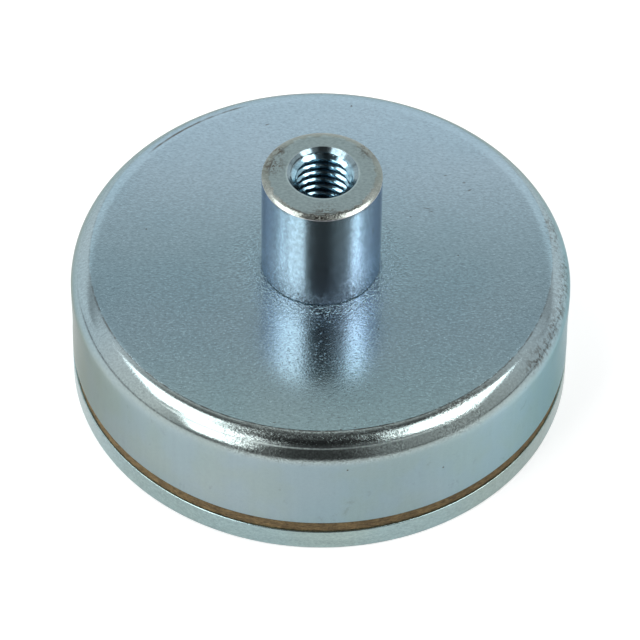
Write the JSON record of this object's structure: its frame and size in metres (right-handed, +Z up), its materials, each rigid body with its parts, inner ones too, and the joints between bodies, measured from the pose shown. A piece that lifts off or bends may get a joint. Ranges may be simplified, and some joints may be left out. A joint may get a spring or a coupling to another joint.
{
  "type": "pot magnet",
  "caption": "Flat round ferrite pot magnet in a zinc-plated steel cup with a tapped bush on its back, closed by a pressboard spacer and a steel keeper disc.",
  "frame": {"origin": "centre of the keeper's underside, on the axis of the bush", "axes": "+Z up the bush, out of the mouth of the tapped hole; X and Y lie in the keeper's underside, and the part looks the same all round"},
  "size_m": [0.063, 0.063, 0.0341],
  "materials": {
    "pot_zinc": "blue-passivated zinc plate, satin with a fine grain, worn along the drawn corner",
    "bush_zinc": "blue-passivated zinc plate on turned steel, glossy",
    "keeper_zinc": "zinc plate, pale and slightly yellow-green",
    "ferrite": "sintered ferrite, matt charcoal, ground on the pole face",
    "epoxy": "cured amber epoxy",
    "pressboard": "brown fibrous pressboard with a rough punched edge"
  },
  "bodies": {
    "root": {"bush": "bush_zinc", "cup": "pot_zinc", "magnet": "ferrite", "bond_ring": "epoxy", "spacer": "pressboard", "keeper": "keeper_zinc"}
  },
  "joints": []
}
